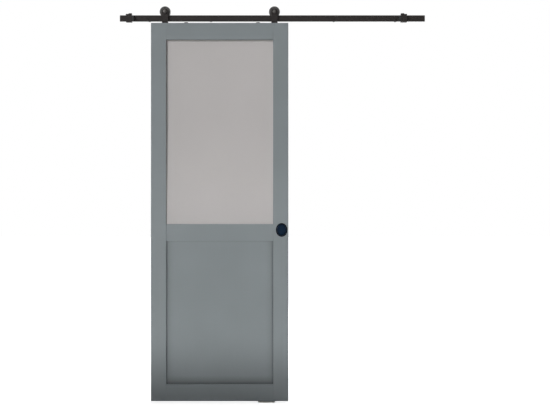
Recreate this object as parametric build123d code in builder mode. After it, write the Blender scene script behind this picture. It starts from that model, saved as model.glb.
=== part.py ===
from build123d import *
import os
from math import cos, radians

os.makedirs("parts", exist_ok=True)

# Sliding door with a glazed upper field and a flat lower panel, hung in front of
# the wall from a flat rail. Lengths are millimetres. The origin is on the wall,
# at the middle fixing of the rail. +X is to the right for someone facing the
# door, +Y goes into the wall and +Z is up. The leaf stands 280 mm to the left.

# Flat rail and its fixings
TRACK_L = 1625.0
TRACK_H = 33.0
TRACK_T = 6.0
TRACK_CORNER_R = 2.5
TRACK_EDGE = 0.5
FIXING_BELOW_TOP = 21.0
FIXING_COUNT = 5
FIXING_FROM_END = 152.5
SPACER_L = 27.0
SPACER_R = 9.0

# Leaf, shut
LEAF_FROM_TRACK_END = 167.5
LEAF_W = 730.0
LEAF_H = 2010.0
LEAF_T = 40.0
STILE_W = 81.0
RAIL_H = 90.0
GLASS_OPENING_H = 979.0
TIMBER_EDGE_R = 1.2
LEAF_BELOW_TRACK = 10.0
LEAF_ABOVE_FLOOR = 8.0

# Joints of the timber
TENON_L = 40.0
TENON_T = 12.0
TENON_INSET = 20.0
TENON_CLEAR = 0.2
TENON_END_CLEAR = 0.8

# Lower panel, loose in grooves
PANEL_T = 16.0
PANEL_TONGUE = 9.0
PANEL_GROOVE = 10.0
PANEL_CLEAR = 0.1

# Glazing, put in from the back and held by four mitred beads
GLASS_T = 6.0
GLASS_LIP = 8.0
REBATE_W = 12.0
GLASS_EDGE_GAP = 3.0
SETTING_BLOCK_L = 60.0
BEAD_SET_BACK = 2.0
BEAD_CLEAR = 0.2
BEAD_R = 4.0

# Flush pulls, one on each face of the right stile
PULL_W = 62.0
PULL_H = 72.6
PULL_FROM_EDGE = 35.8
PULL_ABOVE_BOTTOM = 910.0
PULL_RIM = 4.5
PULL_PROUD = 1.5
PULL_EDGE_R = 1.2
PULL_DEPTH = 11.0
PULL_WALL = 1.2
PULL_DISH_R = 7.0
PULL_CLEAR = 0.2

# Roller hangers
HANGER_FROM_EDGE = 74.0
STRAP_W = 33.0
STRAP_T = 5.0
STRAP_BEND_R = 2.0
STRAP_GAP = 2.0
STRAP_EDGE = 0.7
FOOT_L = 31.0
FOOT_CORNER_R = 4.0
FOOT_SCREW_PITCH = 12.0

# Grooved wheels, running on the rail's top edge
WHEEL_R = 29.0
TREAD_R = 17.7
TREAD_GAP = 0.3
GROOVE_GAP = 0.5
GROOVE_FLARE = 0.8
TREAD_CHAMFER = 0.5
FLANGE_T = 4.5
WHEEL_EDGE_R = 1.0
HUB_R = 16.0
WEB_RECESS = 1.2
WEB_R = 25.0
BEARING_LIP = 1.5

# Ball bearings
BEARING_BORE = 10.0
BEARING_D = 26.0
BEARING_W = 8.0
BALL_D = 4.4
BALL_COUNT = 7
BALL_CLEAR = 0.2
RACE_LAND = 1.8
CAGE_T = 1.6
CAGE_W = 6.0
POCKET_CLEAR = 0.15
SEAL_T = 0.7
SEAL_LIP_GAP = 0.2

# Axle bolts, nuts and bushes
FIT = 0.05
BOLT_AF = 17.0
BOLT_HEAD_H = 6.4
HEX_CHAMFER = 0.35
BOLT_L = 35.0
BOLT_TIP = 1.0
NUT_H = 8.0
NUT_CLEAR = 0.5
BUSH_R = 7.0

# Anti-jump discs, set off centre on the leaf's top edge
DISC_LEFT_FROM_EDGE = 186.0
DISC_RIGHT_FROM_EDGE = 161.0
DISC_R = 11.0
DISC_T = 5.0
DISC_OFFSET = 4.0
DISC_EDGE = 0.6

# Rail stops with their rubber buffers
STOP_LEFT_FROM_END = 49.5
STOP_RIGHT_FROM_END = 112.5
STOP_W = 32.0
STOP_STEP = 15.0
STOP_LOW = 5.0
STOP_HIGH = 8.8
STOP_UNDER = 4.3
STOP_FRONT_WALL = 13.85
STOP_BACK_WALL = 5.85
STOP_CORNER_R = 1.4
STOP_EDGE = 0.7
STOP_CLEAR = 0.15
GRUB_R = 3.0
GRUB_SUNK = 0.5
BUFFER_L = 12.0
BUFFER_H = 28.0
BUFFER_T = 8.5
BUFFER_R = 1.5
BUFFER_GAP = 0.3

# Guide on the floor and the channel that runs over it
CHANNEL_W = 12.0
CHANNEL_H = 15.0
CHANNEL_WALL = 1.5
CHANNEL_CLEAR = 0.1
GUIDE_L = 90.0
GUIDE_W = 40.0
GUIDE_PLATE_T = 3.0
GUIDE_CORNER_R = 5.0
GUIDE_GAP = 0.5
GUIDE_REACH = 11.0
GUIDE_SCREW_PITCH_X = 66.0
GUIDE_SCREW_PITCH_Y = 26.0

# Countersunk screws: head radius, neck radius, thread radius, length
WALL_SCREW = (8.0, 3.6, 4.0, 80.0)
FOOT_SCREW = (5.0, 2.2, 2.5, 40.0)
DISC_SCREW = (4.0, 1.7, 2.0, 30.0)
GUIDE_SCREW = (4.0, 1.7, 2.0, 30.0)
SCREW_CLEAR = 0.2
PILOT_CLEAR = 0.05
SOCKET_SHARE = 0.45
HEAD_CLEAR = 0.1

# Levels and planes that follow from the sizes
track_top = FIXING_BELOW_TOP
track_bottom = track_top - TRACK_H
track_back = -SPACER_L
track_front = track_back - TRACK_T
track_mid = (track_back + track_front) / 2
leaf_top = track_bottom - LEAF_BELOW_TRACK
leaf_bottom = leaf_top - LEAF_H
floor_z = leaf_bottom - LEAF_ABOVE_FLOOR
leaf_front = track_mid - LEAF_T / 2
leaf_back = track_mid + LEAF_T / 2
leaf_left = -TRACK_L / 2 + LEAF_FROM_TRACK_END
leaf_right = leaf_left + LEAF_W
opening_x = (leaf_left + STILE_W, leaf_right - STILE_W)
top_rail_z = (leaf_top - RAIL_H, leaf_top)
glass_z = (top_rail_z[0] - GLASS_OPENING_H, top_rail_z[0])
middle_rail_z = (glass_z[0] - RAIL_H, glass_z[0])
bottom_rail_z = (leaf_bottom, leaf_bottom + RAIL_H)
panel_z = (bottom_rail_z[1], middle_rail_z[0])
axle_z = track_top + TREAD_R + TREAD_GAP
groove_half = TRACK_T / 2 + GROOVE_GAP
wheel_half = groove_half + FLANGE_T
wheel_front = track_mid - wheel_half
wheel_back = track_mid + wheel_half
strap_back = wheel_front - STRAP_GAP
strap_front = strap_back - STRAP_T
foot_top = leaf_top + STRAP_T
foot_back = strap_front + FOOT_L
bearing_front = track_mid - BEARING_W / 2
bearing_back = track_mid + BEARING_W / 2
axle_r = BEARING_BORE / 2 - FIT
hangers = {"left": leaf_left + HANGER_FROM_EDGE, "right": leaf_right - HANGER_FROM_EDGE}
discs = {"left": leaf_left + DISC_LEFT_FROM_EDGE, "right": leaf_right - DISC_RIGHT_FROM_EDGE}
fixing_pitch = (TRACK_L - 2 * FIXING_FROM_END) / (FIXING_COUNT - 1)
fixings = [fixing_pitch * (i - (FIXING_COUNT - 1) / 2) for i in range(FIXING_COUNT)]

# The leaf slides until a strap meets a buffer, and the floor guide stays in its channel
# at both ends of that travel
stop_left_x = -TRACK_L / 2 + STOP_LEFT_FROM_END
stop_right_x = TRACK_L / 2 - STOP_RIGHT_FROM_END
stop_reach = STOP_W / 2 + BUFFER_L + BUFFER_GAP + STRAP_W / 2
travel_left = hangers["left"] - stop_left_x - stop_reach
travel_right = stop_right_x - hangers["right"] - stop_reach
guide_x = (leaf_right - travel_left + leaf_left + travel_right) / 2


def save(piece, name):
    """Label a finished piece and write it under its own name."""
    piece.part.label = name
    export_step(piece.part, f"parts/{name}.step")


def middle(limits):
    """Halfway between two limits."""
    return (limits[0] + limits[1]) / 2


def grown(limits, amount):
    """The same stretch, longer by an amount at both ends."""
    return (limits[0] - amount, limits[1] + amount)


def bar(x, y, z, mode=Mode.ADD):
    """Add or cut a rectangular bar, given its limits along the three axes."""
    with BuildSketch(Plane.XZ.offset(-y[1])) as outline:
        with Locations((middle(x), middle(z))):
            Rectangle(x[1] - x[0], z[1] - z[0])
    extrude(outline.sketch, amount=y[1] - y[0], mode=mode)


def tube(x, z, y, outer_r, inner_r=0.0, mode=Mode.ADD):
    """Add or cut a round bar or ring whose axis runs along Y."""
    with BuildSketch(Plane.XZ.offset(-y[1])) as outline:
        with Locations((x, z)):
            Circle(outer_r)
            if inner_r > 0:
                Circle(inner_r, mode=Mode.SUBTRACT)
    extrude(outline.sketch, amount=y[1] - y[0], mode=mode)


def round_faces(piece, radius):
    """Round the edges of the front and the back face of a timber."""
    front = piece.faces().filter_by(Axis.Y).sort_by(Axis.Y)[0]
    back = piece.faces().filter_by(Axis.Y).sort_by(Axis.Y)[-1]
    fillet(front.edges() + back.edges(), radius)


def countersunk_screw(size, held):
    """A screw pointing down from z = 0, with its neck in a plate of the held thickness."""
    head_r, neck_r, thread_r, length = size
    with BuildPart() as screw:
        with BuildSketch(Plane.XZ):
            with BuildLine():
                Polyline(
                    (0, 0),
                    (head_r, 0),
                    (neck_r, neck_r - head_r),
                    (neck_r, -held),
                    (thread_r, -held),
                    (thread_r, 2 * thread_r - length),
                    (0, -length),
                    close=True,
                )
            make_face()
        revolve(axis=Axis.Z)
        with BuildSketch():
            RegularPolygon(head_r * SOCKET_SHARE, 6)
        extrude(amount=-head_r * SOCKET_SHARE, mode=Mode.SUBTRACT)
    return screw.part


def plate_hole(size):
    """Countersunk hole for a screw, down from the present location."""
    head_r, _, thread_r, _ = size
    CounterSinkHole(thread_r + SCREW_CLEAR, head_r + HEAD_CLEAR, counter_sink_angle=90)


def pilot_holes(points, size, held):
    """Holes down into the leaf's top for screws whose heads lie on a plate of the held thickness."""
    _, _, thread_r, length = size
    with Locations(*[(x, y, leaf_top) for x, y in points]):
        Hole(thread_r + PILOT_CLEAR, depth=length - held)


def screws(points, size, held):
    """Several equal screws pointing down, one at each point."""
    shape = countersunk_screw(size, held)
    with Locations(*points):
        add(shape)


# The flat rail
with BuildPart() as track:
    with BuildSketch(Plane.XZ.offset(-track_back)):
        with Locations((0, (track_top + track_bottom) / 2)):
            RectangleRounded(TRACK_L, TRACK_H, TRACK_CORNER_R)
    extrude(amount=TRACK_T)
    chamfer(track.faces().filter_by(Axis.Y).edges(), TRACK_EDGE)
    for x in fixings:
        with Locations(Plane(origin=(x, track_front, 0), x_dir=(1, 0, 0), z_dir=(0, -1, 0))):
            plate_hole(WALL_SCREW)
save(track, "track_rail")

# Spacers between the rail and the wall
for number, x in enumerate(fixings, start=1):
    with BuildPart() as spacer:
        tube(x, 0, (track_back, 0), SPACER_R, WALL_SCREW[2] + SCREW_CLEAR)
    save(spacer, f"wall_spacer_{number}")

# Wall screws, flush in the rail and threaded from the wall on
with BuildPart() as wall_screws:
    wall_screw = countersunk_screw(WALL_SCREW, TRACK_T + SPACER_L)
    for x in fixings:
        with Locations(Plane(origin=(x, track_front, 0), x_dir=(1, 0, 0), z_dir=(0, -1, 0))):
            add(wall_screw)
save(wall_screws, "wall_screws")

# Timber: the cuts that several members of the leaf share
leaf_y = (leaf_front, leaf_back)
glass_front = leaf_front + GLASS_LIP
glass_back = glass_front + GLASS_T
rebate_x = grown(opening_x, REBATE_W)
rebate_z = grown(glass_z, REBATE_W)
tenon_y = (track_mid - TENON_T / 2, track_mid + TENON_T / 2)
channel_y = (track_mid - CHANNEL_W / 2, track_mid + CHANNEL_W / 2)
channel_z = (leaf_bottom, leaf_bottom + CHANNEL_H)
panel_y = (track_mid - PANEL_T / 2, track_mid + PANEL_T / 2)
member_z = {"top_rail": top_rail_z, "middle_rail": middle_rail_z, "bottom_rail": bottom_rail_z}
foot_mid = (strap_back + STRAP_BEND_R + foot_back) / 2
foot_screws = {
    side: [(x, foot_mid - FOOT_SCREW_PITCH / 2), (x, foot_mid + FOOT_SCREW_PITCH / 2)]
    for side, x in hangers.items()
}
disc_screws = {side: (x, track_mid + DISC_OFFSET) for side, x in discs.items()}
pull_x = leaf_right - PULL_FROM_EDGE
pull_z = leaf_bottom + PULL_ABOVE_BOTTOM
cup_radii = (PULL_W / 2 - PULL_RIM, PULL_H / 2 - PULL_RIM)


def glass_rebate():
    """Step for the glass and its beads, open to the back."""
    bar(rebate_x, (glass_front, leaf_back), rebate_z, mode=Mode.SUBTRACT)


def panel_groove():
    """Groove all round the lower field."""
    y = grown(panel_y, PANEL_CLEAR)
    bar(grown(opening_x, PANEL_GROOVE), y, grown(panel_z, PANEL_GROOVE), mode=Mode.SUBTRACT)


def channel_groove():
    """Groove along the leaf's bottom edge for the guide channel."""
    bar((leaf_left, leaf_right), grown(channel_y, CHANNEL_CLEAR), channel_z, mode=Mode.SUBTRACT)


def hanger_holes():
    """Pilot holes for the screws of both hangers."""
    for points in foot_screws.values():
        pilot_holes(points, FOOT_SCREW, STRAP_T)


# Stiles, full height, with a mortise for each rail
stiles = {"left": (leaf_left, opening_x[0]), "right": (opening_x[1], leaf_right)}
for side, stile_x in stiles.items():
    with BuildPart() as stile:
        bar(stile_x, leaf_y, (leaf_bottom, leaf_top))
        round_faces(stile, TIMBER_EDGE_R)
        glass_rebate()
        panel_groove()
        channel_groove()
        for z in member_z.values():
            mortise_x = grown(opening_x, TENON_L + TENON_END_CLEAR)
            mortise_z = grown(z, TENON_CLEAR - TENON_INSET)
            bar(mortise_x, grown(tenon_y, TENON_CLEAR), mortise_z, mode=Mode.SUBTRACT)
        hanger_holes()
        if side == "right":
            for face_y, inward in ((leaf_front, -1), (leaf_back, 1)):
                with BuildSketch(Plane.XZ.offset(-face_y)):
                    with Locations((pull_x, pull_z)):
                        Ellipse(cup_radii[0] + PULL_CLEAR, cup_radii[1] + PULL_CLEAR)
                extrude(amount=inward * PULL_DEPTH, mode=Mode.SUBTRACT)
    save(stile, f"stile_{side}")

# Rails of the leaf, tenoned into the stiles
for name, z in member_z.items():
    with BuildPart() as member:
        bar(opening_x, leaf_y, z)
        round_faces(member, TIMBER_EDGE_R)
        bar(grown(opening_x, TENON_L), tenon_y, grown(z, -TENON_INSET))
        glass_rebate()
        panel_groove()
        if name == "top_rail":
            hanger_holes()
            pilot_holes(disc_screws.values(), DISC_SCREW, DISC_T)
        if name == "bottom_rail":
            channel_groove()
    save(member, name)

# Lower panel
with BuildPart() as panel:
    bar(grown(opening_x, PANEL_TONGUE), panel_y, grown(panel_z, PANEL_TONGUE))
save(panel, "lower_panel")

# Glass, on two setting blocks
glass_edge = REBATE_W - GLASS_EDGE_GAP
with BuildPart() as glass:
    bar(grown(opening_x, glass_edge), (glass_front, glass_back), grown(glass_z, glass_edge))
save(glass, "glass_pane")

with BuildPart() as blocks:
    block_z = (rebate_z[0], rebate_z[0] + GLASS_EDGE_GAP)
    quarter = (opening_x[1] - opening_x[0]) / 4
    for x in (opening_x[0] + quarter, opening_x[1] - quarter):
        half = SETTING_BLOCK_L / 2
        bar((x - half, x + half), (glass_front, glass_back), block_z)
save(blocks, "setting_blocks")

# Glazing beads, mitred at the corners
bead_outer_x = grown(rebate_x, -BEAD_CLEAR)
bead_outer_z = grown(rebate_z, -BEAD_CLEAR)
opening_centre = Vector(middle(opening_x), leaf_back - BEAD_SET_BACK, middle(glass_z))


def corners(x, z):
    """Corners of a rectangle in order, from bottom left round to top left."""
    return [(x[0], z[0]), (x[1], z[0]), (x[1], z[1]), (x[0], z[1])]


outer = corners(bead_outer_x, bead_outer_z)
inner = corners(opening_x, glass_z)
for i, place in enumerate(("bottom", "right", "top", "left")):
    following = (i + 1) % 4
    with BuildPart() as bead:
        with BuildSketch(Plane.XZ.offset(-(leaf_back - BEAD_SET_BACK))):
            with BuildLine():
                Polyline(outer[i], outer[following], inner[following], inner[i], close=True)
            make_face()
        extrude(amount=leaf_back - BEAD_SET_BACK - glass_back)
        back_edges = bead.faces().sort_by(Axis.Y)[-1].edges()
        fillet(back_edges.sort_by_distance(opening_centre)[0], BEAD_R)
    save(bead, f"glazing_bead_{place}")

# Flush pulls: an oval rim on the face and a dished cup let into the stile
for face, face_y, outward in (("front", leaf_front, 1), ("back", leaf_back, -1)):
    with BuildPart() as pull:
        with BuildSketch(Plane.XZ.offset(-face_y)):
            with Locations((pull_x, pull_z)):
                Ellipse(PULL_W / 2, PULL_H / 2)
        extrude(amount=outward * PULL_PROUD)
        rim_face = pull.faces().filter_by(Axis.Y).sort_by(Axis.Y)[0 if outward > 0 else -1]
        fillet(rim_face.edges(), PULL_EDGE_R)
        with BuildSketch(Plane.XZ.offset(-face_y)):
            with Locations((pull_x, pull_z)):
                Ellipse(*cup_radii)
        extrude(amount=-outward * PULL_DEPTH)
        with BuildSketch(Plane.XZ.offset(-face_y + outward * PULL_PROUD)):
            with Locations((pull_x, pull_z)):
                Ellipse(cup_radii[0] - PULL_WALL, cup_radii[1] - PULL_WALL)
        hollow = PULL_PROUD + PULL_DEPTH - PULL_WALL
        extrude(amount=-outward * hollow, mode=Mode.SUBTRACT)
        floor_y = face_y + outward * (PULL_DEPTH - PULL_WALL)
        floor_face = pull.faces().filter_by(Axis.Y).sort_by_distance((pull_x, floor_y, pull_z))[0]
        fillet(floor_face.outer_wire().edges(), PULL_DISH_R)
    save(pull, f"flush_pull_{face}")

# Roller hangers, built alike on both sides
wheel_axis = {side: Axis((x, track_mid, axle_z), (0, 1, 0)) for side, x in hangers.items()}
race_r = BALL_D / 2 + BALL_CLEAR
pitch_r = (BEARING_D + BEARING_BORE) / 4
inner_land = pitch_r - RACE_LAND
outer_land = pitch_r + RACE_LAND
hex_corner = BOLT_AF / 2 / cos(radians(30))
for side, x in hangers.items():
    # Strap, bent back under the rail into a foot on the leaf's top
    with BuildPart() as strap:
        tube(x, axle_z, (strap_front, strap_back), STRAP_W / 2)
        with BuildSketch(Plane.YZ.offset(x - STRAP_W / 2)):
            with BuildLine():
                outside = FilletPolyline(
                    (strap_front, axle_z),
                    (strap_front, leaf_top),
                    (foot_back, leaf_top),
                    radius=STRAP_BEND_R + STRAP_T,
                )
                inside = FilletPolyline(
                    (strap_back, axle_z),
                    (strap_back, foot_top),
                    (foot_back, foot_top),
                    radius=STRAP_BEND_R,
                )
                Line(outside @ 0, inside @ 0)
                Line(outside @ 1, inside @ 1)
            make_face()
        extrude(amount=STRAP_W)
        foot_corners = strap.edges().filter_by(Axis.Z).group_by(Axis.Y)[-1]
        fillet(foot_corners, FOOT_CORNER_R)
        front_face = strap.faces().filter_by(Axis.Y).sort_by(Axis.Y)[0]
        bend_z = leaf_top + STRAP_T + STRAP_BEND_R
        outline_edges = front_face.edges().filter_by(lambda e: e.center().Z > bend_z + FIT)
        chamfer(outline_edges, STRAP_EDGE)
        with Locations(Plane(origin=(x, strap_front, axle_z), x_dir=(1, 0, 0), z_dir=(0, -1, 0))):
            Hole(BEARING_BORE / 2 + FIT, depth=STRAP_T)
        with Locations(*[(px, py, foot_top) for px, py in foot_screws[side]]):
            plate_hole(FOOT_SCREW)
    save(strap, f"hanger_{side}_strap")

    with BuildPart() as foot_screw_pair:
        screws([(px, py, foot_top) for px, py in foot_screws[side]], FOOT_SCREW, STRAP_T)
    save(foot_screw_pair, f"hanger_{side}_foot_screws")

    # Axle: hexagon bolt from the front, bushes either side of the bearing, nut behind
    bolt_plane = Plane(origin=(x, strap_front, axle_z), x_dir=(1, 0, 0), z_dir=(0, -1, 0))
    with BuildPart(bolt_plane) as bolt:
        with BuildSketch(bolt_plane):
            RegularPolygon(BOLT_AF / 2, 6, major_radius=False)
        extrude(amount=BOLT_HEAD_H)
        Cone(
            hex_corner + BOLT_HEAD_H,
            BOLT_AF / 2 - HEX_CHAMFER,
            BOLT_HEAD_H,
            align=(Align.CENTER, Align.CENTER, Align.MIN),
            mode=Mode.INTERSECT,
        )
        Cylinder(axle_r, BOLT_L, align=(Align.CENTER, Align.CENTER, Align.MAX))
        chamfer(bolt.edges().sort_by(Axis.Y)[-1], BOLT_TIP)
    save(bolt, f"hanger_{side}_axle_bolt")

    bore = BEARING_BORE / 2
    rear_bush_end = wheel_back + NUT_CLEAR
    with BuildPart() as front_bush:
        tube(x, axle_z, (strap_back, bearing_front), BUSH_R, bore)
    save(front_bush, f"hanger_{side}_front_bush")
    with BuildPart() as rear_bush:
        tube(x, axle_z, (bearing_back, rear_bush_end), BUSH_R, bore)
    save(rear_bush, f"hanger_{side}_rear_bush")

    nut_plane = Plane(origin=(x, rear_bush_end, axle_z), x_dir=(1, 0, 0), z_dir=(0, 1, 0))
    with BuildPart(nut_plane) as nut:
        with BuildSketch(nut_plane):
            RegularPolygon(BOLT_AF / 2, 6, major_radius=False)
        extrude(amount=NUT_H)
        Cone(
            hex_corner + NUT_H,
            BOLT_AF / 2 - HEX_CHAMFER,
            NUT_H,
            align=(Align.CENTER, Align.CENTER, Align.MIN),
            mode=Mode.INTERSECT,
        )
        Cylinder(bore, NUT_H, align=(Align.CENTER, Align.CENTER, Align.MIN), mode=Mode.SUBTRACT)
    save(nut, f"hanger_{side}_nut")

    # Ball bearing: two races, balls in a cage, a seal on each side
    race_plane = Plane.YZ.offset(x)
    ball_centre = (track_mid, axle_z + pitch_r)
    with BuildPart() as inner_race:
        with BuildSketch(race_plane):
            with Locations((track_mid, axle_z + (inner_land + bore) / 2)):
                Rectangle(BEARING_W, inner_land - bore)
            with Locations(ball_centre):
                Circle(race_r, mode=Mode.SUBTRACT)
        revolve(axis=wheel_axis[side])
    save(inner_race, f"bearing_{side}_inner_race")

    with BuildPart() as outer_race:
        with BuildSketch(race_plane):
            with Locations((track_mid, axle_z + (outer_land + BEARING_D / 2) / 2)):
                Rectangle(BEARING_W, BEARING_D / 2 - outer_land)
            with Locations(ball_centre):
                Circle(race_r, mode=Mode.SUBTRACT)
        revolve(axis=wheel_axis[side])
    save(outer_race, f"bearing_{side}_outer_race")

    ball_plane = Plane(origin=(x, track_mid, axle_z), x_dir=(1, 0, 0), z_dir=(0, 1, 0))
    with BuildPart(ball_plane) as balls:
        with PolarLocations(pitch_r, BALL_COUNT):
            Sphere(BALL_D / 2)
    save(balls, f"bearing_{side}_balls")

    with BuildPart(ball_plane) as cage:
        Cylinder(pitch_r + CAGE_T / 2, CAGE_W)
        Cylinder(pitch_r - CAGE_T / 2, CAGE_W, mode=Mode.SUBTRACT)
        with PolarLocations(pitch_r, BALL_COUNT):
            Cylinder(
                BALL_D / 2 + POCKET_CLEAR,
                3 * CAGE_T,
                rotation=(0, 90, 0),
                mode=Mode.SUBTRACT,
            )
    save(cage, f"bearing_{side}_cage")

    with BuildPart() as seals:
        for seal_y in (
            (bearing_front, bearing_front + SEAL_T),
            (bearing_back - SEAL_T, bearing_back),
        ):
            tube(x, axle_z, seal_y, outer_land, inner_land + SEAL_LIP_GAP)
    save(seals, f"bearing_{side}_seals")

    # Wheel: half its section, turned about the axle
    with BuildPart() as wheel:
        with BuildSketch(race_plane) as section:
            with Locations((track_mid, axle_z + (WHEEL_R + BEARING_D / 2) / 2)):
                Rectangle(2 * wheel_half, WHEEL_R - BEARING_D / 2)
            fillet(section.vertices().group_by(Axis.Z)[-1], WHEEL_EDGE_R)
            with BuildLine():
                Polyline(
                    (track_mid - groove_half - GROOVE_FLARE, axle_z + WHEEL_R),
                    (track_mid - groove_half, axle_z + TREAD_R + TREAD_CHAMFER),
                    (track_mid - groove_half + TREAD_CHAMFER, axle_z + TREAD_R),
                    (track_mid + groove_half - TREAD_CHAMFER, axle_z + TREAD_R),
                    (track_mid + groove_half, axle_z + TREAD_R + TREAD_CHAMFER),
                    (track_mid + groove_half + GROOVE_FLARE, axle_z + WHEEL_R),
                    close=True,
                )
            make_face(mode=Mode.SUBTRACT)
            for y in (wheel_front, wheel_back):
                with Locations((y, axle_z + (HUB_R + WEB_R) / 2)):
                    Rectangle(2 * WEB_RECESS, WEB_R - HUB_R, mode=Mode.SUBTRACT)
            lip_l = bearing_front - wheel_front
            with Locations((wheel_front + lip_l / 2, axle_z + (BEARING_D - BEARING_LIP) / 2)):
                Rectangle(lip_l, BEARING_LIP)
        revolve(axis=wheel_axis[side])
    save(wheel, f"wheel_{side}")

# Anti-jump discs: turned on their off-centre screws to close the gap below the rail
for side, x in discs.items():
    screw_x, screw_y = disc_screws[side]
    with BuildPart() as disc:
        with BuildSketch(Plane.XY.offset(leaf_top)):
            with Locations((x, track_mid)):
                Circle(DISC_R)
        extrude(amount=DISC_T)
        chamfer(disc.edges().group_by(Axis.Z)[-1], DISC_EDGE)
        with Locations((screw_x, screw_y, leaf_top + DISC_T)):
            plate_hole(DISC_SCREW)
    save(disc, f"anti_jump_disc_{side}")
    with BuildPart() as disc_screw:
        screws([(screw_x, screw_y, leaf_top + DISC_T)], DISC_SCREW, DISC_T)
    save(disc_screw, f"anti_jump_disc_{side}_screw")

# Rail stops: blocks slid over the rail, each locked by a grub screw from above
stop_y = (track_front - STOP_FRONT_WALL, track_back + STOP_BACK_WALL)
track_y = (track_front, track_back)
track_z = (track_bottom, track_top)
for side, stop_x, inward in (("left", stop_left_x, 1), ("right", stop_right_x, -1)):
    outer_face = stop_x - inward * STOP_W / 2
    inner_face = stop_x + inward * STOP_W / 2
    step_x = outer_face + inward * STOP_STEP
    grub_x = (step_x + inner_face) / 2
    with BuildPart() as stop:
        with BuildSketch(Plane.XZ.offset(-stop_y[1])) as outline:
            with BuildLine():
                Polyline(
                    (outer_face, track_bottom - STOP_UNDER),
                    (inner_face, track_bottom - STOP_UNDER),
                    (inner_face, track_top + STOP_HIGH),
                    (step_x, track_top + STOP_HIGH),
                    (step_x, track_top + STOP_LOW),
                    (outer_face, track_top + STOP_LOW),
                    close=True,
                )
            make_face()
            fillet(outline.vertices(), STOP_CORNER_R)
        extrude(amount=stop_y[1] - stop_y[0])
        chamfer(stop.faces().sort_by(Axis.Y)[0].edges(), STOP_EDGE)
        slot_x = (stop_x - STOP_W, stop_x + STOP_W)
        bar(slot_x, grown(track_y, STOP_CLEAR), grown(track_z, STOP_CLEAR), mode=Mode.SUBTRACT)
        with Locations((grub_x, track_mid, track_top + STOP_HIGH)):
            Hole(GRUB_R + FIT, depth=STOP_HIGH)
    save(stop, f"stop_{side}")

    with BuildPart() as grub:
        with Locations((grub_x, track_mid, track_top)):
            Cylinder(
                GRUB_R,
                STOP_HIGH - GRUB_SUNK,
                align=(Align.CENTER, Align.CENTER, Align.MIN),
            )
        with BuildSketch(Plane.XY.offset(track_top + STOP_HIGH - GRUB_SUNK)):
            with Locations((grub_x, track_mid)):
                RegularPolygon(GRUB_R * SOCKET_SHARE, 6)
        extrude(amount=-GRUB_R, mode=Mode.SUBTRACT)
    save(grub, f"stop_{side}_grub_screw")

    with BuildPart() as buffer:
        x_limits = sorted((inner_face, inner_face + inward * BUFFER_L))
        z_mid = (track_top + track_bottom) / 2
        z_limits = (z_mid - BUFFER_H / 2, z_mid + BUFFER_H / 2)
        bar(x_limits, (stop_y[0], stop_y[0] + BUFFER_T), z_limits)
        end_face = buffer.faces().sort_by(Axis.X)[-1 if inward > 0 else 0]
        fillet(end_face.edges(), BUFFER_R)
    save(buffer, f"stop_{side}_buffer")

# Guide channel in the leaf's bottom edge
with BuildPart() as channel:
    with BuildSketch(Plane.YZ.offset(leaf_left)):
        with Locations((track_mid, middle(channel_z))):
            Rectangle(CHANNEL_W, CHANNEL_H)
        with Locations((track_mid, middle(channel_z) - CHANNEL_WALL / 2)):
            Rectangle(CHANNEL_W - 2 * CHANNEL_WALL, CHANNEL_H - CHANNEL_WALL, mode=Mode.SUBTRACT)
    extrude(amount=LEAF_W)
save(channel, "guide_channel")

# Floor guide: a plate with an upright fin that stays in the channel
fin_t = CHANNEL_W - 2 * CHANNEL_WALL - 2 * GUIDE_GAP
with BuildPart() as guide:
    with BuildSketch(Plane.XY.offset(floor_z)):
        with Locations((guide_x, track_mid)):
            RectangleRounded(GUIDE_L, GUIDE_W, GUIDE_CORNER_R)
    extrude(amount=GUIDE_PLATE_T)
    with BuildSketch(Plane.XY.offset(floor_z)):
        with Locations((guide_x, track_mid)):
            SlotOverall(GUIDE_L, fin_t)
    extrude(amount=LEAF_ABOVE_FLOOR + GUIDE_REACH)
    with Locations((guide_x, track_mid, floor_z + GUIDE_PLATE_T)):
        with GridLocations(GUIDE_SCREW_PITCH_X, GUIDE_SCREW_PITCH_Y, 2, 2):
            plate_hole(GUIDE_SCREW)
save(guide, "floor_guide")

with BuildPart() as guide_screws:
    guide_screw = countersunk_screw(GUIDE_SCREW, GUIDE_PLATE_T)
    with Locations((guide_x, track_mid, floor_z + GUIDE_PLATE_T)):
        with GridLocations(GUIDE_SCREW_PITCH_X, GUIDE_SCREW_PITCH_Y, 2, 2):
            add(guide_screw)
save(guide_screws, "floor_guide_screws")
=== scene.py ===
from collections import namedtuple
from math import ceil, cos, pi, radians, sin

import bmesh
import bpy
from mathutils import Matrix, Vector


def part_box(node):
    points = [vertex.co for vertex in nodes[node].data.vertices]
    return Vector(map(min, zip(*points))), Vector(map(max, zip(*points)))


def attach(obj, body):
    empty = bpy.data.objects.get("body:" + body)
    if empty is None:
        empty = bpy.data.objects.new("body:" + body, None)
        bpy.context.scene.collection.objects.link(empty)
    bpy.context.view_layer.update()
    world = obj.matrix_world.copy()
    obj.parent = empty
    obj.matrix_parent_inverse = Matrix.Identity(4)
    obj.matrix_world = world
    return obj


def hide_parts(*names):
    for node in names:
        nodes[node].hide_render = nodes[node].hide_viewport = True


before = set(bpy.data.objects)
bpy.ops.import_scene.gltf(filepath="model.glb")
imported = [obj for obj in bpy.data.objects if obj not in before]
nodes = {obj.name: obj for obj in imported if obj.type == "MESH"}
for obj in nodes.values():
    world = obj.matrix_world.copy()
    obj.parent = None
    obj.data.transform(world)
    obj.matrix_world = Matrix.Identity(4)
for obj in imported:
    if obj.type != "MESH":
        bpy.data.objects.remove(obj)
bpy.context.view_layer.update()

MM = 0.001
SIDES = ("left", "right")


def middle(node):
    """The middle of a node's box."""
    low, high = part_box(node)
    return (low + high) / 2


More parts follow.
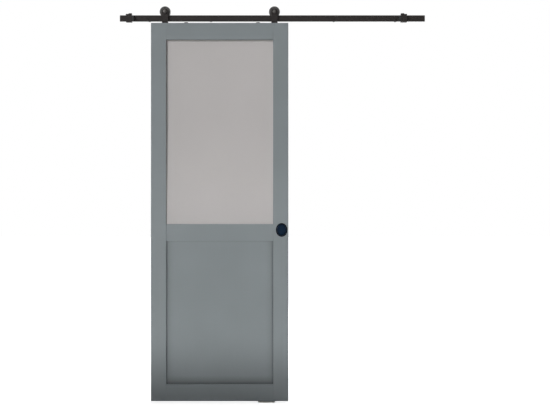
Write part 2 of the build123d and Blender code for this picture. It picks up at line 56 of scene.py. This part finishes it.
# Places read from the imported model
floor_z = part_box("floor_guide")[0].z
axles = {side: middle(f"wheel_{side}") for side in SIDES}


# Shader nodes
def add_node(tree, kind, *values, **named):
    """A new node.

    Plain values go to its first inputs in order, and those whose name has a capital to the
    inputs of that name, each as a number or as another node's output. The rest are settings.
    """
    made = tree.nodes.new(kind)
    for name, value in named.items():
        if name.islower():
            setattr(made, name, value)
    feeds = list(zip(made.inputs, values))
    for name, value in named.items():
        if not name.islower():
            feeds.append((made.inputs[name.replace("_", " ")], value))
    for socket, value in feeds:
        if isinstance(value, bpy.types.NodeSocket):
            tree.links.new(value, socket)
        else:
            socket.default_value = value
    return made


class Shader:
    """A node material with one Principled shader, built up by short calls."""

    # A noise stays mostly between these two values
    NOISE_LOW, NOISE_HIGH = 0.3, 0.7

    def __init__(self, name, color, roughness, metallic=0.0, specular=0.5):
        self.material = bpy.data.materials.new(name)
        self.material.use_nodes = True
        self.tree = self.material.node_tree
        self.surface = self.tree.nodes["Principled BSDF"]
        self.color = color
        self.set("Base Color", (*color, 1.0))
        self.set("Roughness", roughness)
        self.set("Metallic", metallic)
        self.set("Specular IOR Level", specular)

    def set(self, socket, value):
        self.surface.inputs[socket].default_value = value

    def drive(self, socket, output):
        self.tree.links.new(output, self.surface.inputs[socket])

    def node(self, kind, *values, **named):
        return add_node(self.tree, kind, *values, **named)

    def place(self, scale=(1.0, 1.0, 1.0), centre=(0.0, 0.0, 0.0)):
        """Object coordinates, in metres, moved to a centre and then stretched."""
        coordinates = self.node("ShaderNodeTexCoord").outputs["Object"]
        moved = self.node("ShaderNodeVectorMath", coordinates, centre, operation="SUBTRACT")
        stretched = self.node("ShaderNodeVectorMath", moved.outputs[0], scale, operation="MULTIPLY")
        return stretched.outputs[0]

    def distance(self, scale, centre):
        """Distance from a centre, after the stretch by a scale."""
        reach = self.node("ShaderNodeVectorMath", self.place(scale, centre), operation="LENGTH")
        return reach.outputs["Value"]

    def noise(self, scale, detail=3.0, place=None):
        """Noise over the object, with its size in features a metre."""
        made = self.node(
            "ShaderNodeTexNoise",
            Vector=place or self.place(),
            Scale=scale,
            Detail=detail,
            Roughness=0.55,
        )
        return made.outputs["Fac"]

    def spread(self, value, low, high):
        """Stretch the middle of a noise over the span from low to high."""
        made = self.node(
            "ShaderNodeMapRange",
            Value=value,
            From_Min=self.NOISE_LOW,
            From_Max=self.NOISE_HIGH,
            To_Min=low,
            To_Max=high,
        )
        return made.outputs[0]

    def tint(self, noise, low, high):
        """Vary the base colour between two shares of itself."""
        mixed = self.node(
            "ShaderNodeMix",
            data_type="RGBA",
            Factor=self.spread(noise, 0.0, 1.0),
            A=(*(channel * low for channel in self.color), 1.0),
            B=(*(channel * high for channel in self.color), 1.0),
        )
        self.drive("Base Color", mixed.outputs["Result"])

    def gloss(self, noise, low, high):
        """Vary the roughness between two values."""
        self.drive("Roughness", self.spread(noise, low, high))

    def shade(self, value, start, end, at_start, at_end):
        """Multiply the tinted base colour by a factor that runs with a value."""
        factor = self.node(
            "ShaderNodeMapRange",
            Value=value,
            From_Min=start,
            From_Max=end,
            To_Min=at_start,
            To_Max=at_end,
        )
        tinted = self.surface.inputs["Base Color"].links[0].from_socket
        shaded = self.node(
            "ShaderNodeVectorMath", tinted, Scale=factor.outputs[0], operation="SCALE"
        )
        self.drive("Base Color", shaded.outputs[0])

    def corners(self, reach, lean, darkest):
        """Painted shade: darken inner corners by how closed in they are, most of all above a ledge.
        """
        normal = self.node("ShaderNodeNewGeometry").outputs["Normal"]
        down = (0.0, 0.0, -lean)
        leaning = self.node("ShaderNodeVectorMath", normal, down, operation="ADD")
        openness = self.node(
            "ShaderNodeAmbientOcclusion", samples=16, Distance=reach, Normal=leaning.outputs[0]
        )
        self.shade(openness.outputs["AO"], start=0.0, end=1.0, at_start=darkest, at_end=1.0)

    def bumps(self, *layers):
        """Stack bump layers, each a height with its depth in metres."""
        stacked = {}
        for height, depth in layers:
            bump = self.node("ShaderNodeBump", Height=height, Distance=depth, **stacked)
            stacked = {"Normal": bump.outputs["Normal"]}
        self.drive("Normal", stacked["Normal"])


# Colours, as linear values
PAINT = (0.190, 0.214, 0.224)
GLASS = (0.475, 0.455, 0.448)
STEEL = (0.0130, 0.0105, 0.0098)
FASTENER = (0.052, 0.049, 0.046)
PULL = (0.0019, 0.0112, 0.0280)
NYLON = (0.022, 0.020, 0.019)
NATURAL_NYLON = (0.68, 0.67, 0.63)
BLOCK = (0.05, 0.05, 0.05)
RUBBER = (0.012, 0.012, 0.012)
BEARING = (0.52, 0.52, 0.53)
ALUMINIUM = (0.70, 0.70, 0.71)


# Materials
def painted_timber(name, along, corner_shaded=False):
    """Satin blue-grey paint on timber: rolled on, with the grain just showing through."""
    shader = Shader(name, PAINT, roughness=0.42, specular=0.4)
    fibres = [60.0, 60.0, 60.0]
    fibres["XYZ".index(along)] = 2.5
    grain = shader.noise(scale=1.0, detail=5.0, place=shader.place(scale=fibres))
    roller = shader.noise(scale=700.0, detail=2.0)
    cloud = shader.noise(scale=3.2, detail=2.0)
    shader.tint(cloud, low=0.965, high=1.03)
    # Painted shade in the corners of the recess, darkest above its bottom ledge
    if corner_shaded:
        shader.corners(reach=45 * MM, lean=0.8, darkest=0.1)
    shader.gloss(grain, low=0.37, high=0.5)
    shader.bumps((grain, 0.35 * MM), (roller, 0.12 * MM))
    return shader.material


def frosted_glass():
    """Etched glass: pale, dull and only a little light comes through it."""
    shader = Shader("frosted_glass", GLASS, roughness=0.6, specular=0.5)
    shader.set("Transmission Weight", 0.12)
    shader.set("IOR", 1.5)
    haze = shader.noise(scale=2.2, detail=2.0)
    smears = shader.noise(scale=40.0)
    etch = shader.noise(scale=1600.0, detail=1.0)
    shader.tint(haze, low=0.97, high=1.025)
    shader.gloss(smears, low=0.52, high=0.66)
    shader.bumps((etch, 0.04 * MM))
    return shader.material


def powder_coat():
    """Matt black powder coat with its fine orange peel."""
    shader = Shader("powder_coat", STEEL, roughness=0.5, specular=0.2)
    peel = shader.noise(scale=1500.0, detail=2.0)
    drift = shader.noise(scale=25.0)
    shader.tint(drift, low=0.85, high=1.15)
    shader.gloss(drift, low=0.45, high=0.6)
    shader.bumps((peel, 0.08 * MM))
    return shader.material


def blackened_fastener():
    """Blackened steel of bolts, nuts and screws, rubbed a little brighter in places."""
    shader = Shader("blackened_fastener", FASTENER, roughness=0.38, metallic=0.6)
    wear = shader.noise(scale=260.0, detail=4.0)
    pits = shader.noise(scale=2200.0)
    shader.tint(wear, low=0.7, high=1.35)
    shader.gloss(wear, low=0.3, high=0.48)
    shader.bumps((pits, 0.03 * MM))
    return shader.material


def pull_lacquer():
    """Dark blue-black lacquer on metal, with painted shade that turns it almost black on the rim of
    the cup.
    """
    shader = Shader("pull_lacquer", PULL, roughness=0.32, specular=0.08)
    drift = shader.noise(scale=70.0)
    skin = shader.noise(scale=1300.0)
    low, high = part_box("flush_pull_front")
    half_width, _, half_height = (high - low) / 2
    outwards = shader.distance(scale=(1 / half_width, 0.0, 1 / half_height), centre=(low + high) / 2)
    shader.tint(drift, low=0.8, high=1.25)
    # Painted shade: darker towards the rim of the cup
    shader.shade(outwards, start=0.68, end=0.88, at_start=1.0, at_end=0.25)
    shader.gloss(drift, low=0.27, high=0.38)
    shader.bumps((skin, 0.04 * MM))
    return shader.material


def turned(name, color, roughness, centre, ring, metallic=0.0):
    """A turned surface: fine rings about the axle through a centre."""
    shader = Shader(name, color, roughness=roughness, metallic=metallic)
    radius = shader.distance(scale=(1.0, 0.0, 1.0), centre=centre)
    turns = shader.node("ShaderNodeMath", radius, 2 * pi / ring, operation="MULTIPLY")
    rings = shader.node("ShaderNodeMath", turns.outputs[0], operation="SINE")
    drift = shader.noise(scale=120.0, place=shader.place(centre=centre))
    skin = shader.noise(scale=1100.0)
    shader.tint(drift, low=0.85, high=1.2)
    shader.gloss(drift, low=roughness - 0.06, high=roughness + 0.08)
    shader.bumps((rings.outputs[0], 0.04 * MM), (skin, 0.03 * MM))
    return shader.material


def moulded(name, color, roughness, grain=900.0, specular=0.4):
    """Moulded plastic or rubber with a fine even texture."""
    shader = Shader(name, color, roughness=roughness, specular=specular)
    drift = shader.noise(scale=45.0)
    texture = shader.noise(scale=grain, detail=2.0)
    shader.tint(drift, low=0.88, high=1.14)
    shader.gloss(drift, low=roughness - 0.06, high=roughness + 0.06)
    shader.bumps((texture, 0.06 * MM))
    return shader.material


def mill_aluminium():
    """Extruded aluminium with drawing lines along its length."""
    shader = Shader("mill_aluminium", ALUMINIUM, roughness=0.36, metallic=1.0)
    drawn = shader.place(scale=(3.0, 900.0, 900.0))
    lines = shader.noise(scale=1.0, detail=4.0, place=drawn)
    shader.tint(lines, low=0.88, high=1.08)
    shader.gloss(lines, low=0.3, high=0.45)
    shader.bumps((lines, 0.04 * MM))
    return shader.material


# Which node has which material, by its whole name or else by the first of these words in it
steel = powder_coat()
fastener = blackened_fastener()
paint_upright = painted_timber("paint_upright", along="Z")
paint_across = painted_timber("paint_across", along="X")
finish_by_name = {
    # The lower panel's colour carries painted shade in its corners
    "lower_panel": painted_timber("paint_panel", along="Z", corner_shaded=True),
    "glass_pane": frosted_glass(),
    "setting_blocks": moulded("block_plastic", BLOCK, roughness=0.55),
    "guide_channel": mill_aluminium(),
    "floor_guide": moulded("guide_nylon", NATURAL_NYLON, roughness=0.45),
    "wall_screws": steel,
}
finish_by_word = {
    "stile": paint_upright,
    "glazing_bead_left": paint_upright,
    "glazing_bead_right": paint_upright,
    "glazing_bead": paint_across,
    "top_rail": paint_across,
    "middle_rail": paint_across,
    "bottom_rail": paint_across,
    "flush_pull": pull_lacquer(),
    "_buffer": moulded("buffer_rubber", RUBBER, roughness=0.7, grain=1200.0, specular=0.3),
    "_seals": moulded("seal_rubber", RUBBER, roughness=0.6, specular=0.3),
    "screw": fastener,
    "bolt": fastener,
    "nut": fastener,
}
for side, axle in axles.items():
    finish_by_word[f"wheel_{side}"] = turned(
        f"wheel_nylon_{side}", NYLON, roughness=0.45, centre=axle, ring=0.6 * MM
    )
    finish_by_word[f"bearing_{side}"] = turned(
        f"ground_steel_{side}", BEARING, roughness=0.25, centre=axle, ring=0.3 * MM, metallic=1.0
    )


def finish_of(node):
    """The material of a node."""
    if node in finish_by_name:
        return finish_by_name[node]
    for word, finish in finish_by_word.items():
        if word in node:
            return finish
    return steel


for name, node in nodes.items():
    node.data.materials.clear()
    node.data.materials.append(finish_of(name))


# Threads, which take the place of plain screw ends
Thread = namedtuple("Thread", "crest core pitch ridge")

# A ridge is a row of steps along one pitch: share of the pitch, share of the height
WOOD_RIDGE = ((0.0, 0.0), (0.54, 0.0), (0.72, 1.0), (0.80, 1.0))
BOLT_RIDGE = ((0.0, 0.0), (0.12, 0.0), (0.50, 1.0), (0.62, 1.0))
WALL_THREAD = Thread(crest=4.0 * MM, core=2.8 * MM, pitch=3.6 * MM, ridge=WOOD_RIDGE)
FLOOR_THREAD = Thread(crest=2.0 * MM, core=1.35 * MM, pitch=1.8 * MM, ridge=WOOD_RIDGE)
AXLE_THREAD = Thread(crest=4.95 * MM, core=4.05 * MM, pitch=1.5 * MM, ridge=BOLT_RIDGE)
THREAD_SIDES = 32

# A plain shank is cut this far before the wall or the floor, or before the end of its nut
CUT_BEFORE = 0.1 * MM
CUT_IN_NUT = 0.5 * MM

# Its thread starts inside it, this far before the wall, the floor or the cut in the nut
WALL_START = 1.0 * MM
FLOOR_START = 0.5 * MM
BOLT_START = 1.0 * MM

GUIDE_SCREW_HEAD_R = 4.0 * MM
INTO_WALL = Vector((0, 1, 0))
INTO_FLOOR = Vector((0, 0, -1))
SHARP_ANGLE = radians(30)
WELD = 0.001 * MM


def add_thread(shell, to_world, thread, length, point):
    """Add a threaded shank to a bmesh, along local Z from 0 to its length, closed at both ends.

    The ridge rises out of the core over the first turn and runs out in a chamfer.
    Over the length of the point, if there is one, the whole shank narrows to nothing.
    """
    crest, core, pitch, ridge = thread
    turns = ceil(length / pitch) + 1
    rows = []
    for step in range((turns + 1) * THREAD_SIDES + 1):
        turn = step / THREAD_SIDES
        row = []
        for along, height in ridge:
            z = min(max((turn + along - 1) * pitch, 0.0), length)
            rise = min(1.0, z / pitch, (length - z) / (crest - core))
            narrow = min(1.0, (length - z) / point) if point else 1.0
            radius = narrow * (core + (crest - core) * height * rise)
            place = Vector((radius * cos(2 * pi * turn), radius * sin(2 * pi * turn), z))
            row.append(shell.verts.new(to_world @ place))
        rows.append(row)
    for step in range(turns * THREAD_SIDES):
        here = rows[step] + rows[step + THREAD_SIDES][:1]
        there = rows[step + 1] + rows[step + 1 + THREAD_SIDES][:1]
        for low in range(len(ridge)):
            shell.faces.new((here[low], there[low], there[low + 1], here[low + 1]))


def close_holes(shell):
    """Fill the open ends of a bmesh."""
    bmesh.ops.holes_fill(shell, edges=[edge for edge in shell.edges if edge.is_boundary])


def threaded_copy(node, body, along, cut, starts, thread, length, point=0.0):
    """Stand in for a node of screws with a copy whose ends past the cut are real threads.

    The cut is a point in the plane where the plain shanks stop. The threads run along a
    direction, each from its start inside a shank.
    """
    shell = bmesh.new()
    shell.from_mesh(nodes[node].data)
    bmesh.ops.remove_doubles(shell, verts=shell.verts, dist=WELD)
    everything = shell.verts[:] + shell.edges[:] + shell.faces[:]
    bmesh.ops.bisect_plane(shell, geom=everything, plane_co=cut, plane_no=along, clear_outer=True)
    close_holes(shell)
    turn = along.to_track_quat("Z", "Y").to_matrix().to_4x4()
    for start in starts:
        add_thread(shell, Matrix.Translation(start) @ turn, thread, length, point)
    bmesh.ops.remove_doubles(shell, verts=shell.verts, dist=WELD)
    bmesh.ops.dissolve_degenerate(shell, edges=shell.edges, dist=WELD)
    close_holes(shell)
    bmesh.ops.recalc_face_normals(shell, faces=shell.faces)
    mesh = bpy.data.meshes.new(f"{node}_threaded")
    shell.to_mesh(mesh)
    shell.free()
    mesh.shade_smooth()
    mesh.set_sharp_from_angle(angle=SHARP_ANGLE)
    mesh.materials.append(finish_of(node))
    piece = bpy.data.objects.new(f"{node}_threaded", mesh)
    bpy.context.scene.collection.objects.link(piece)
    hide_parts(node)
    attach(piece, body)
    return piece


# Wall screws, one in the middle of each spacer
spacers = [name for name in nodes if name.startswith("wall_spacer")]
wall_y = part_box(spacers[0])[1].y
wall_start = wall_y - WALL_START
wall_screws = threaded_copy(
    "wall_screws",
    body="track",
    along=INTO_WALL,
    cut=Vector((0, wall_y - CUT_BEFORE, 0)),
    starts=[Vector((middle(name).x, wall_start, middle(name).z)) for name in spacers],
    thread=WALL_THREAD,
    length=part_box("wall_screws")[1].y - wall_start,
    point=2 * WALL_THREAD.crest,
)

# Floor guide screws, whose heads touch the sides of their common box
guide_low, guide_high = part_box("floor_guide_screws")
floor_start = floor_z + FLOOR_START
guide_screws = threaded_copy(
    "floor_guide_screws",
    body="track",
    along=INTO_FLOOR,
    cut=Vector((0, 0, floor_z + CUT_BEFORE)),
    starts=[
        Vector((x, y, floor_start))
        for x in (guide_low.x + GUIDE_SCREW_HEAD_R, guide_high.x - GUIDE_SCREW_HEAD_R)
        for y in (guide_low.y + GUIDE_SCREW_HEAD_R, guide_high.y - GUIDE_SCREW_HEAD_R)
    ],
    thread=FLOOR_THREAD,
    length=floor_start - guide_low.z,
    point=2 * FLOOR_THREAD.crest,
)

# Axle bolts, whose ends stick out of their nuts
for side, axle in axles.items():
    bolt = f"hanger_{side}_axle_bolt"
    bolt_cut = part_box(f"hanger_{side}_nut")[1].y - CUT_IN_NUT
    bolt_start = bolt_cut - BOLT_START
    axle_bolt = threaded_copy(
        bolt,
        body="leaf",
        along=INTO_WALL,
        cut=Vector((0, bolt_cut, 0)),
        starts=[Vector((axle.x, bolt_start, axle.z))],
        thread=AXLE_THREAD,
        length=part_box(bolt)[1].y - bolt_start,
    )


# Floor and world, both white to the camera where nothing shades them
FLOOR_SIZE = 60.0
FLOOR_GREY = (0.60, 0.60, 0.60, 1.0)
WHITE = (1.0, 1.0, 1.0, 1.0)
GLOW_NEAR, GLOW_FAR = 0.75, 1.0
GLOW_START, GLOW_END = 1.3, 2.0
WORLD_FILL = 0.15


def shows_background(tree):
    """1 for rays that show the background: from the camera, from gloss and through glass."""
    rays = add_node(tree, "ShaderNodeLightPath").outputs
    shows = rays["Is Camera Ray"]
    for ray in ("Is Glossy Ray", "Is Transmission Ray"):
        shows = add_node(tree, "ShaderNodeMath", shows, rays[ray], operation="MAXIMUM").outputs[0]
    return shows


def finish_tree(tree, output, plain, shown):
    """Show one shader as background and use the other for all other rays."""
    factor = shows_background(tree)
    chosen = add_node(tree, "ShaderNodeMixShader", factor, plain.outputs[0], shown.outputs[0])
    add_node(tree, output, Surface=chosen.outputs[0])


def pale_floor():
    """Matt pale floor; to the camera a glow brings it up to white and keeps the shadow.

    The glow is full only outside the light from overhead, which does the rest near the object.
    """
    material = bpy.data.materials.new("pale_floor")
    material.use_nodes = True
    tree = material.node_tree
    tree.nodes.clear()
    place = add_node(tree, "ShaderNodeTexCoord").outputs["Object"]
    distance = add_node(tree, "ShaderNodeVectorMath", place, operation="LENGTH")
    strength = add_node(
        tree,
        "ShaderNodeMapRange",
        Value=distance.outputs["Value"],
        From_Min=GLOW_START,
        From_Max=GLOW_END,
        To_Min=GLOW_NEAR,
        To_Max=GLOW_FAR,
    )
    glow = add_node(tree, "ShaderNodeEmission", Strength=strength.outputs[0])
    matt = add_node(tree, "ShaderNodeBsdfDiffuse", Color=FLOOR_GREY)
    glowing = add_node(tree, "ShaderNodeAddShader", matt.outputs[0], glow.outputs[0])
    finish_tree(tree, "ShaderNodeOutputMaterial", plain=matt, shown=glowing)
    return material


floor_mesh = bpy.data.meshes.new("floor")
half = FLOOR_SIZE / 2
floor_corners = [(-half, -half, 0), (half, -half, 0), (half, half, 0), (-half, half, 0)]
floor_mesh.from_pydata(floor_corners, [], [(0, 1, 2, 3)])
floor_mesh.materials.append(pale_floor())
floor = bpy.data.objects.new("floor", floor_mesh)
floor.location.z = floor_z
bpy.context.scene.collection.objects.link(floor)

world = bpy.data.worlds.new("studio")
bpy.context.scene.world = world
world.use_nodes = True
world.node_tree.nodes.clear()
fill = add_node(world.node_tree, "ShaderNodeBackground", Color=WHITE, Strength=WORLD_FILL)
white = add_node(world.node_tree, "ShaderNodeBackground", Color=WHITE)
finish_tree(world.node_tree, "ShaderNodeOutputWorld", plain=fill, shown=white)


# Lamps
def softbox(name, place, aim, size, watts, spread=180.0):
    """A rectangular lamp turned towards a point, with its width as near along X as that allows.

    The camera doesn't see the lamp itself.
    """
    data = bpy.data.lights.new(name, "AREA")
    data.shape = "RECTANGLE"
    data.size, data.size_y = size
    data.energy = watts
    data.spread = radians(spread)
    lamp = bpy.data.objects.new(name, data)
    beam = (Vector(aim) - Vector(place)).normalized()
    side = (Vector((1, 0, 0)) - beam * beam.x).normalized()
    turn = Matrix((side, side.cross(beam), -beam)).transposed()
    lamp.matrix_world = Matrix.Translation(place) @ turn.to_4x4()
    lamp.visible_camera = False
    bpy.context.scene.collection.objects.link(lamp)


# Narrow beams light the front and fade out towards the leaf's bottom edge, as in the photograph
AIM_X, AIM_Y = -0.2, -0.05
OUT_X, OUT_Y = 1.10, 1.90
NARROW = 15.0
KEY_Z, LOWER_Z = -0.64, -1.345
for name, way, z, height, watts in (
    ("key", -1, KEY_Z, 2.5, 4.42),
    ("lower_left", -1, LOWER_Z, 1.04, 1.80),
    ("lower_right", 1, LOWER_Z, 1.04, 1.75),
):
    softbox(
        name,
        place=(AIM_X + way * OUT_X, AIM_Y - OUT_Y, z),
        aim=(AIM_X, AIM_Y, z),
        size=(2.1, height),
        watts=watts,
        spread=NARROW,
    )
softbox(
    "upper",
    place=(-1.70, -1.12, 1.00),
    aim=(AIM_X, AIM_Y, -0.20),
    size=(2.0, 0.86),
    watts=4.75,
    spread=10.0,
)

# Wide soft ones fill in from the right, from low in front and on the back
softbox("right", (2.6, -2.0, -0.9), (AIM_X, AIM_Y, -1.0), size=(1.6, 2.2), watts=1.75)
softbox("low", (-0.3, -1.2, -2.0), (-0.3, AIM_Y, -1.3), size=(2.4, 0.5), watts=0.8)
softbox("back", (2.0, 4.0, 0.6), (AIM_X, 0.0, -1.0), size=(3.0, 2.4), watts=230.0)

# One straight above gives the shadow on the floor
softbox("overhead", (0.0, 0.0, 2.5), (0.0, 0.0, 0.0), size=(5.0, 5.0), watts=23.6, spread=6.0)


# Camera, at the photograph's place and angle
CAMERA_PLACE = (0.014, -5.680, -0.995)
SENSOR_WIDTH = 36.0
IMAGE_WIDTH = 550
FOCAL_PIXELS = 1060.0
camera_data = bpy.data.cameras.new("camera")
camera_data.sensor_width = SENSOR_WIDTH
camera_data.lens = FOCAL_PIXELS * SENSOR_WIDTH / IMAGE_WIDTH
camera = bpy.data.objects.new("camera", camera_data)
camera.location = CAMERA_PLACE
camera.rotation_euler = (radians(90), 0, 0)
bpy.context.scene.collection.objects.link(camera)
bpy.context.scene.camera = camera

bpy.context.scene.view_settings.view_transform = "Standard"
